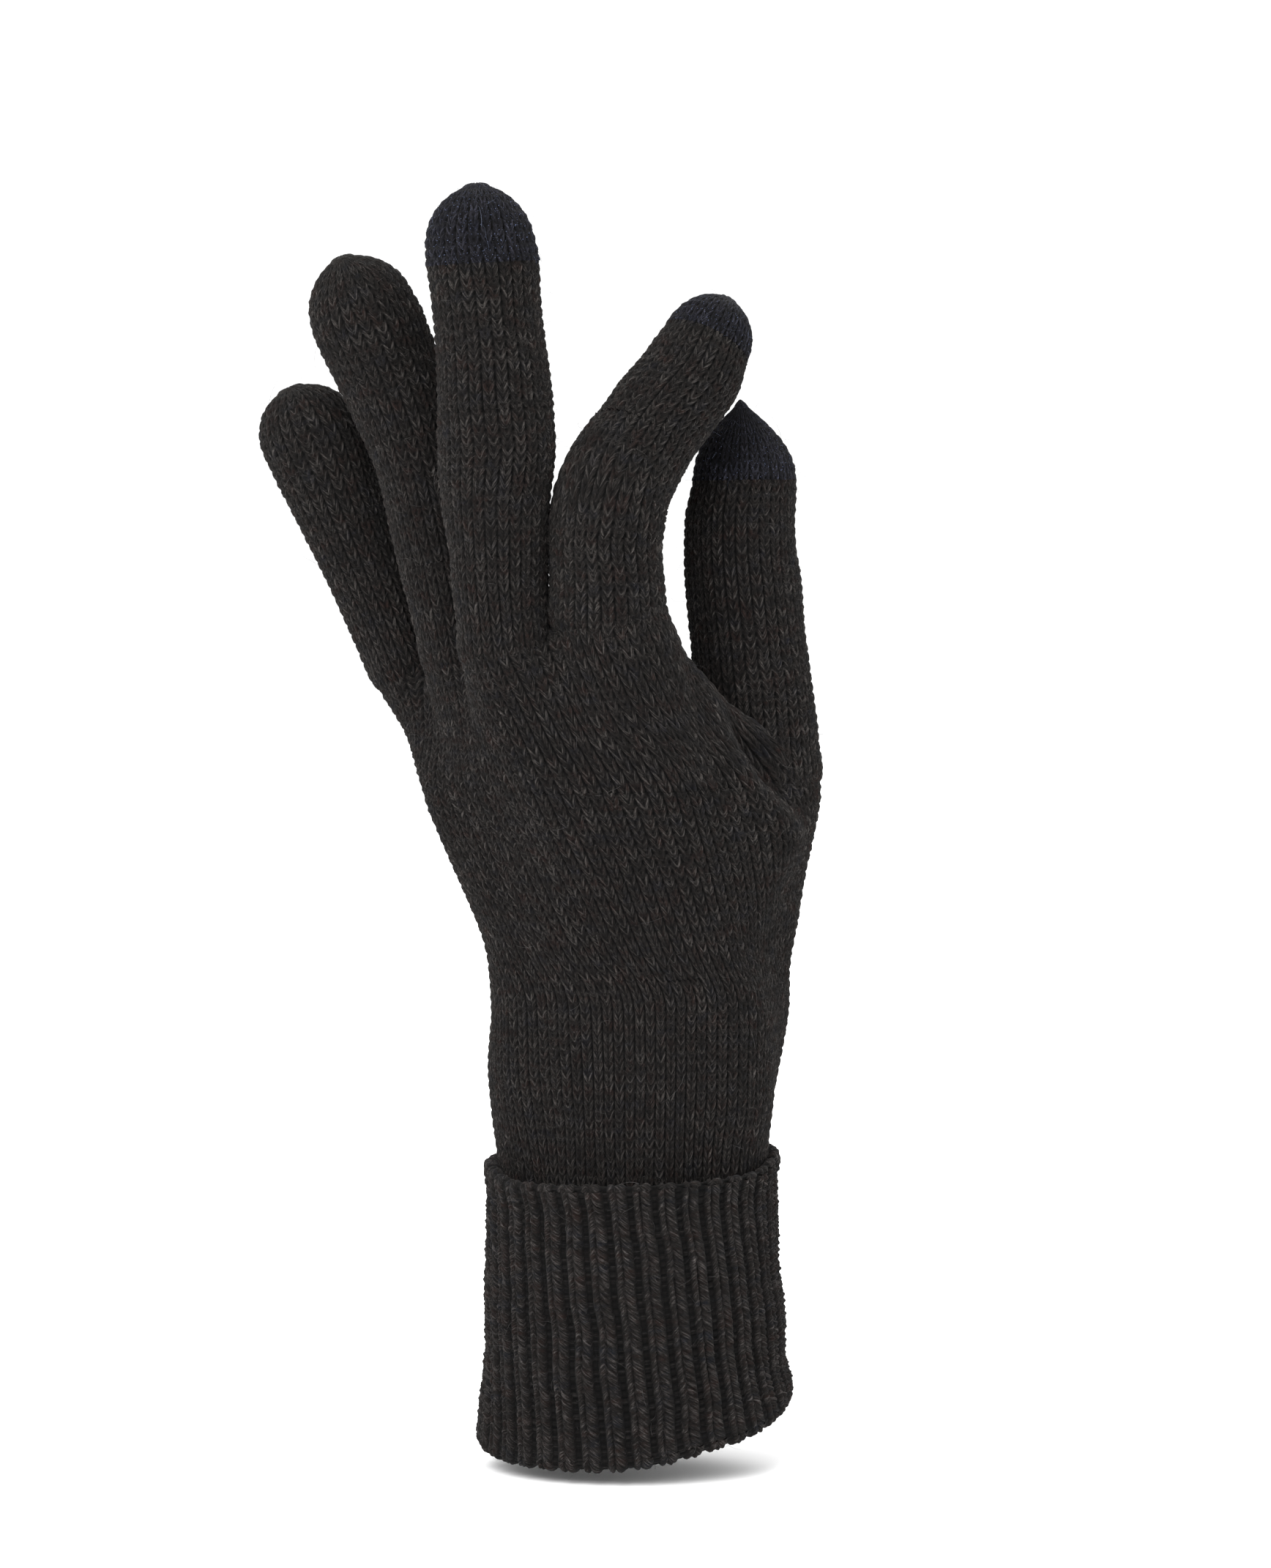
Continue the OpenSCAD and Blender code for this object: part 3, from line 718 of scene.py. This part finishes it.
def even_ring(outline, count, start_x):
    """count points evenly round an outline, from its point at start_x on the back of the hand."""
    closed = np.vstack([outline, outline[:1]])
    s = distances(closed)
    on_back = outline[:, 1] < outline[:, 1].mean()
    start = np.where(on_back, np.abs(outline[:, 0] - start_x), np.inf).argmin()
    at = (s[start] + np.arange(count) / count * s[-1]) % s[-1]
    return np.stack([np.interp(at, s, closed[:, k]) for k in range(2)], -1)


def nearest_on_chain(points, chain):
    """Distance to a chain of points, and the nearest place on it."""
    best, foot = np.full(len(points), np.inf), points.copy()
    for a, b in zip(chain[:-1], chain[1:]):
        ab = b - a
        t = np.clip(((points - a) @ ab) / max(ab @ ab, 1e-12), 0, 1)
        place = a + t[:, None] * ab
        d = np.linalg.norm(points - place, axis=1)
        foot = np.where((d < best)[:, None], place, foot)
        best = np.minimum(best, d)
    return best, foot


def groove(ring, ovals, fingers_g, thumb_g):
    """Pushes a ring inwards between its ovals, until it meets one or nears the hand's middle.

    fingers_g and thumb_g say how much of that push the fingers' and the thumb's creases get.
    """
    tangent = unit(np.roll(ring, -1, axis=0) - np.roll(ring, 1, axis=0))
    inward = np.stack([-tangent[:, 1], tangent[:, 0]], -1)
    near, _ = nearest_on_chain(ring, ovals[[3, 2, 1, 0, 4, 5]][:, :2])
    depth = near - CREASE_STOP
    for oval, side, deep in zip(ovals, *oval_axes(ovals)):
        rel = ring - oval[:2]
        p = np.stack([rel @ side / oval[2], rel @ deep / oval[3]], -1)
        n = np.stack([inward @ side / oval[2], inward @ deep / oval[3]], -1)
        a, b, c = (n * n).sum(1), (p * n).sum(1), (p * p).sum(1) - 1
        disc = b * b - a * c
        hit = np.where(disc > 0, (-b - np.sqrt(np.maximum(disc, 0))) / a, np.inf)
        depth = np.minimum(depth, hit)
    depth = np.maximum(depth, 0)
    kernel = bell(4)
    depth = np.convolve(np.pad(depth, len(kernel) // 2, mode="wrap"), kernel, "valid")
    web_x = ovals[4, 0]
    on_thumb = smoothstep(ring[:, 0], web_x - 6 * MM, web_x + 4 * MM)
    share = lerp(fingers_g, thumb_g, on_thumb)
    return ring + inward * (depth * share)[:, None]


def neck(y, height):
    """How the wrist draws in from front to back where it goes into the cuff."""
    return y * (1 - NECK_DRAW * (1 - smoothstep(height, *NECK)))


def side_swell(x, height):
    """How far each point of a ring moves sideways, by the SIDES table."""
    middle = (x.min() + x.max()) / 2
    reach = (x - middle) / (x.max() - middle)
    little_side, thumb_side = (np.interp(height, SIDES[:, 0], SIDES[:, k]) for k in (1, 2))
    return thumb_side * smoothstep(reach, 0.3, 1.0) - little_side * smoothstep(-reach, 0.3, 1.0)


def hand_surface(rng, roots):
    """The smooth hand from inside the cuff to the finger roots, and a cap between the fingers."""
    cols = HAND_WALES * WALE_STEPS
    step = HAND_COURSE / COURSE_STEPS
    mid_root = np.mean([roots[n][1] for n in FINGER_ROWS])
    index_top, index_z = roots["index"]
    levels = np.concatenate([
        np.linspace(0, 1, int((SPLIT - HAND_START) / step), endpoint=False),
        np.linspace(1, 2, int((mid_root - SPLIT) / step) + 1)])
    root_x = (roots["middle"][0][0] + roots["ring"][0][0]) / 2
    rings = []
    for t in levels:
        z = lerp(HAND_START, SPLIT, t) if t <= 1 else lerp(SPLIT, mid_root, t - 1)
        ovals = hand_ovals(t, z, roots)
        up = np.clip((z - HEEL) / (mid_root - HEEL), 0, 1)
        ring = even_ring(hull_points(ovals), cols, lerp(joint_at("wrist_bend")[0], root_x, up))
        fingers_g = np.clip(1 - (mid_root - z) / FINGER_CREASE, 0, 1) ** 1.4
        thumb_g = smoothstep(z, SPLIT - THUMB_CREASE[0], SPLIT + THUMB_CREASE[1])
        ring = groove(ring, ovals, fingers_g, thumb_g)
        plane = index_z + ROOTS_RISE * (ring[:, 0] - index_top[0])
        height = np.full(cols, z) if t <= 1 else lerp(SPLIT, plane, t - 1)
        ring[:, 0] += side_swell(ring[:, 0], height)
        ring[:, 1] = neck(ring[:, 1], height)
        rings.append(np.column_stack([ring, height]))
    points = blur_rows(np.stack(rings), 7)
    points = dented(points, HAND_DENT, (6 * WALE_STEPS, 5 * COURSE_STEPS), HAND_WALES // 6, rng)
    tuck = smoothstep(np.arange(len(points)), len(points) - TUCK_ROWS, len(points) - 1)
    points = points - grid_normals(points) * (ROOT_TUCK * tuck)[:, None, None]
    top = points[-1]
    across_roots = hand_ovals(2.0, mid_root, roots)[[3, 2, 1, 0, 4]][:, :2]
    _, foot = nearest_on_chain(top[:, :2], across_roots)
    caps = []
    for k in range(1, CAP_ROWS + 1):
        f = math.sin(k / CAP_ROWS * math.pi / 2)
        caps.append(np.column_stack([lerp(top[:, :2], foot, f**1.3), top[:, 2] + CAP_RISE * f]))
    return np.concatenate([points, np.stack(caps)])


rng = np.random.default_rng(SEED)
surfaces = {name: finger_surface(name, rng) for name in FINGERS}
roots = {}
for name in FINGERS:
    stations = surfaces[name][2]
    forward = unit(stations[1] - stations[0])
    roots[name] = (root_oval(name, stations[0], forward), stations[0][2])
    roots[name + "_lean"] = forward[0] / forward[2]
hand = hand_surface(rng, roots)


# ---- pieces of plain knit ----
# Pieces of one tube share its grid and are cut between courses, so their stitches meet
made = []


def add_knit(name, points, rows, wales, materials, slot, nodes, **more):
    local = np.random.default_rng(SEED + len(name) + 7 * len(made))
    obj = knit_piece(name, points, rows, wales, plain_stitch, materials, local, **more)
    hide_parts(*nodes)
    made.append(name)
    return obj


def hand_row(height):
    """The first row of the course nearest to a height on the hand."""
    return round((height - HAND_START) / HAND_COURSE) * COURSE_STEPS


rows_wrist = hand_row(WRIST_END)
rows_split = hand_row(SPLIT)
for name, rows, nodes in (
    ("wrist_knit", (0, rows_wrist + 1), ["wrist_sleeve"]),
    ("heel_knit", (rows_wrist, rows_split + 1), ["hand_heel"]),
    ("palm_knit", (rows_split, None), ["hand_palm"]),
):
    obj = add_knit(name, hand, rows, HAND_WALES, [body_yarn, body_fibre], "body_knit", nodes)
    if name == "wrist_knit":
        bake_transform(obj)
    else:
        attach(obj, "hand")


def finger_row(lengths, at):
    """The row between courses nearest to a distance along a finger."""
    return round(int(np.searchsorted(lengths, at)) / COURSE_STEPS) * COURSE_STEPS


def finger_nodes(name, label):
    """The CAD nodes that a knitted piece of a finger stands for."""
    if label != "root":
        return [f"{name}_{label}_stall"]
    return ["thumb_gusset" if name == "thumb" else name + "_root", name + "_base_stall"]


TIP_ROWS = 8  # rows of the finger's tube that the drawn stitches cover
TIP_MIDDLE = 7  # rows from there to the middle
GATHERS = 9
FULL_ROSETTE = 8.0 * MM  # width from which the gathers have their full height


def tip_stitches(name, points, yarn):
    """The last stitches of a finger, drawn together round one point."""
    rim = points[-TIP_ROWS:, ::2]
    middle = rim[-1].mean(axis=0)
    cap = [lerp(rim[-1], middle, 0.98 * k / TIP_MIDDLE) for k in range(1, TIP_MIDDLE + 1)]
    base = np.concatenate([rim, np.stack(cap)])
    tall, cols = base.shape[:2]
    row = np.arange(tall)[:, None] + np.zeros((1, cols))
    around = np.arange(cols)[None, :] / cols + 0.012 * row
    pleat = np.abs(np.sin(np.pi * GATHERS * around)) ** 0.7
    inner = row / (tall - 1)
    # sunk at the rim, raised over the gathers and sunk again in the middle
    swell = -0.55 + 0.80 * smoothstep(inner, 0.0, 0.35) + 0.35 * pleat * (1 - inner**2) - 0.9 * inner**3
    swell = swell * min(1.0, np.ptp(rim[0], axis=0).max() / FULL_ROSETTE)
    normals = grid_normals(base)
    normals[-TIP_MIDDLE:] = unit(normals[: -TIP_MIDDLE].mean(axis=(0, 1)))
    verts = (base + normals * (swell * MM)[..., None]).reshape(-1, 3)
    quads, i, j = grid_quads(tall, cols)
    uv = np.stack([i / cols, j / (tall - 1)], -1)
    course = 6 * inner + 0.5 * pleat
    # the height field paints shade between the gathers and light along their ridges
    fields = {"height": (0.25 + 0.6 * pleat).ravel(), "tone": np.zeros(verts.shape[0]),
              "across": pleat.ravel(), "course": course.ravel()}
    return make_mesh(name, verts, quads, {"OFBake": uv, "Knit": uv * [GATHERS, 4]}, fields, [yarn])


for name, spec in FINGERS.items():
    points, lengths, stations = surfaces[name]
    reach = distances(stations[:-1])
    joints = finger_joints(name)
    bodies = [JOINTS[joints[0]]["parent"]] + [JOINTS[j]["child"] for j in joints]
    labels = ["root", "middle", "end"] if len(joints) == 3 else ["root", "end"]
    has_touch = spec["touch"] is not None
    cuts = [0]
    for k in range(1, len(joints)):
        cuts.append(finger_row(lengths, (reach[k] + reach[k + 1]) / 2))
    cuts.append(finger_row(lengths, reach[-1] - spec["touch"] * MM) if has_touch else None)
    for k, label in enumerate(labels):
        rows = (cuts[k], cuts[k + 1] + 1 if cuts[k + 1] else None)
        obj = add_knit(f"{name}_{label}_knit", points, rows, spec["wales"],
                       [body_yarn, body_fibre], "body_knit", finger_nodes(name, label))
        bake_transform(obj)
    if has_touch:
        obj = add_knit(f"{name}_touch_knit", points, (cuts[-1], None), spec["wales"],
                       [touch_yarn, touch_fibre], "touch_knit", [name + "_touch_tip"], fuzz=0.10)
        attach(obj, bodies[-1])
    obj = tip_stitches(f"{name}_tip_stitches", points, touch_yarn if has_touch else seam_yarn)
    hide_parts(name + "_tip_closure")
    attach(obj, bodies[-1])

# ---- cuff ----
RIBS = 36
RIB_STEPS = 14  # vertices across one rib
top_low, top_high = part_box("cuff_top_edge")
CUFF_HALF_W = (top_high.x - top_low.x) / 2
CUFF_HALF_D = (top_high.y - top_low.y) / 2
RIB_WALL = 2.2 * MM
RIB_RELIEF = 1.45 * MM
CUFF_TWIST = 0.18  # how far the ribs lean round the cuff from fold to edge, in radians
FOLD_MID = 5.2 * MM  # the fold's height in the middle
FOLD_RISE = (0.08, 0.20)  # rise of the fold towards the thumb and towards the palm
FOLD_REACH = 0.16  # how far up the cuff's height the fold's own shape fades out
FOLD_WIDER = (2.0 * MM, 1.8 * MM)  # how much wider it is at the thumb's and little finger's side
FOLD_ENDS = (3.0 * MM, -1.5 * MM)  # how much higher it is there
FOLD_BULGE = (1.0 * MM, 16 * MM, 10 * MM)  # how much higher the fold is in front, where, and how wide
EDGE_HIGHER = 2.8 * MM  # the turned-up edge at the cuff's sides, above the cuff's top
EDGE_RISE = 0.04  # rise of the edge towards the thumb
EDGE_DIP = 2.6 * MM  # how far the edge dips in front
CUFF_FLARE = 1.8 * MM  # how much wider the cuff is at its fold
CUFF_SLIM = 1.2 * MM  # how much narrower the cuff is below its edge
CUFF_LEAN = 0.4 * MM  # how far its fold lies towards the thumb's side
CUFF_DENT = 0.5 * MM
FOLD_AT = 0.05  # fractions of the cuff's height: where the fold turns,
INNER_TOP = 0.93  # where the inner layer ends
EDGE_AT = 0.962  # and where the edge rolls in
EDGE_ROLL = 1.3 * MM  # the rolled edge's radius
EDGE_SWELL = 0.4 * MM  # how far its outside stands out
HEM_ROWS = 15  # rows of the edge that go back down inside the outer layer
HEM_STEP = 0.006  # one such row, as a fraction of the cuff's height
INNER_DRAW = 4.0 * MM  # how far the inner layer's top draws in to meet the wrist


def cuff_ring(t, inset, lift=0.0):
    """One ring of the cuff at fraction t of its height; inset moves it inwards."""
    theta = np.linspace(0, 2 * np.pi, RIBS * RIB_STEPS, endpoint=False) + CUFF_TWIST * (1 - t)
    thumb_side, little_side = np.maximum(np.cos(theta), 0), np.maximum(-np.cos(theta), 0)
    front = np.maximum(-np.sin(theta), 0)
    near_fold = math.exp(-((t / FOLD_REACH) ** 2))
    corner = near_fold * (FOLD_WIDER[0] * thumb_side**2 + FOLD_WIDER[1] * little_side**2)
    grow = CUFF_FLARE * (1 - t) - inset + corner - CUFF_SLIM * smoothstep(1 - t, 0.03, 0.12)
    x = (CUFF_HALF_W + grow) * np.cos(theta)
    y = (CUFF_HALF_D + grow) * np.sin(theta)
    bulge, bulge_x, bulge_w = FOLD_BULGE
    fold = FOLD_MID + FOLD_RISE[0] * x + FOLD_RISE[1] * y
    fold += FOLD_ENDS[0] * near_fold * thumb_side**3 + FOLD_ENDS[1] * little_side**3
    fold += bulge * np.exp(-(((x - bulge_x) / bulge_w) ** 2)) * smoothstep(front)
    edge = CUFF_TOP + EDGE_HIGHER + EDGE_RISE * x - EDGE_DIP * smoothstep(front, 0.0, 0.6)
    return np.column_stack([x + CUFF_LEAN * (1 - t), y, lerp(fold, edge, t) + lift])


def cuff_rows():
    """The cuff's profile from the inner layer's top, down, round the fold, up and over the edge.

    Gives its rings, and the row where the fold, the outer layer and the edge start.
    """
    step = RIB_COURSE / COURSE_STEPS
    between = 2 * RIB_WALL + 0.2 * MM  # from the outer layer's surface to the inner layer's
    count = int((INNER_TOP - FOLD_AT) * CUFF_TOP / step)
    rows, marks = [], {}
    for t in np.linspace(INNER_TOP, FOLD_AT, count // 2, endpoint=False):
        rows.append(cuff_ring(t, between + INNER_DRAW * smoothstep(t, 0.74, INNER_TOP)))
    marks["fold"] = len(rows)
    for q in np.linspace(math.pi, 0, int(math.pi * between / 2 / step), endpoint=False):
        inset = between / 2 * (1 - math.cos(q))
        rows.append(cuff_ring(FOLD_AT, inset, -between / 2 * math.sin(q)))
    marks["outer"] = len(rows)
    for t in np.linspace(FOLD_AT, EDGE_AT, count, endpoint=False):
        rows.append(cuff_ring(t, 0.0))
    marks["edge"] = len(rows)
    for q in np.linspace(0, math.pi, int(math.pi * EDGE_ROLL / step)):
        inset = EDGE_ROLL * (1 - math.cos(q)) - EDGE_SWELL * math.sin(q)
        rows.append(cuff_ring(EDGE_AT, inset, EDGE_ROLL * math.sin(q)))
    for k in range(1, HEM_ROWS + 1):
        rows.append(cuff_ring(EDGE_AT - HEM_STEP * k, 2 * EDGE_ROLL))
    return np.stack(rows), marks


cuff, marks = cuff_rows()
cuff = dented(cuff, CUFF_DENT, (5 * RIB_STEPS, 9 * COURSE_STEPS), 7, rng)
# the relief is calmer along the rolled edge, and a little calmer round the fold
cuff_row = np.arange(len(cuff))
at_edge = smoothstep(cuff_row, marks["edge"] - 8, marks["edge"] + 4)
past_inner = smoothstep(cuff_row, marks["fold"] - 10, marks["fold"])
below_outer = smoothstep(-cuff_row, -marks["outer"] - 14, -marks["outer"])
cuff_calm = 1 - 0.55 * at_edge - 0.35 * past_inner * below_outer
for name, rows, nodes in (
    ("cuff_inner_knit", (0, marks["fold"] + 1), ["cuff_inner_layer"]),
    ("cuff_fold_knit", (marks["fold"], marks["outer"] + 1), ["cuff_fold"]),
    ("cuff_outer_knit", (marks["outer"], marks["edge"] + 1), ["cuff_outer_layer"]),
    ("cuff_edge_knit", (marks["edge"], None), ["cuff_top_edge"]),
):
    local = np.random.default_rng(SEED + 90 + len(made))
    obj = knit_piece(name, cuff, rows, RIBS, rib_stitch, [rib_yarn, body_fibre], local,
                     relief=RIB_RELIEF, steps=RIB_STEPS, calm=cuff_calm)
    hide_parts(*nodes)
    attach(obj, "cuff")
    made.append(name)

# ---- floor, light and camera ----
low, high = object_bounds()
bpy.ops.mesh.primitive_plane_add(size=12, location=(0, 0, low.z - 0.3 * MM))
floor = bpy.context.object
floor.name = "floor"
floor_paint = Graph("floor_paint").finish({"Base Color": rgb(252, 252, 252), "Roughness": 0.9})
floor.data.materials.append(floor_paint)

world = bpy.data.worlds.new("studio")
bpy.context.scene.world = world
world.use_nodes = True
world.node_tree.nodes["Background"].inputs[0].default_value = (1.0, 1.0, 1.0, 1.0)
world.node_tree.nodes["Background"].inputs[1].default_value = 1.12


def area_light(name, at, aim, size, power):
    data = bpy.data.lights.new(name, "AREA")
    data.shape = "RECTANGLE"
    data.size, data.size_y = size
    data.energy = power
    obj = bpy.data.objects.new(name, data)
    bpy.context.scene.collection.objects.link(obj)
    obj.location = at
    obj.rotation_mode = "QUATERNION"
    obj.rotation_quaternion = (Vector(aim) - Vector(at)).to_track_quat("-Z", "Y")


middle_of_glove = (0, 0, 0.13)
area_light("key", (-0.45, -1.1, 1.1), middle_of_glove, (1.1, 1.1), 27)
area_light("fill", (1.1, -0.8, 0.5), middle_of_glove, (0.8, 1.0), 3)
area_light("back", (0.2, 1.0, 1.0), middle_of_glove, (1.0, 0.6), 9)

CAMERA_DISTANCE = 1.5
CAMERA_RISE = math.radians(5)
CAMERA_LENS = 168.1  # millimetres, on a sensor 36 wide
CAMERA_AIM = Vector((0.6 * MM, 0, 138.45 * MM))
camera_data = bpy.data.cameras.new("camera")
camera_data.sensor_width = 36
camera_data.lens = CAMERA_LENS
camera = bpy.data.objects.new("camera", camera_data)
bpy.context.scene.collection.objects.link(camera)
backwards = Vector((0, -math.cos(CAMERA_RISE), math.sin(CAMERA_RISE)))
camera.location = CAMERA_AIM + CAMERA_DISTANCE * backwards
camera.rotation_mode = "QUATERNION"
camera.rotation_quaternion = (CAMERA_AIM - camera.location).to_track_quat("-Z", "Y")
bpy.context.scene.camera = camera
bpy.context.scene.view_settings.view_transform = "Standard"
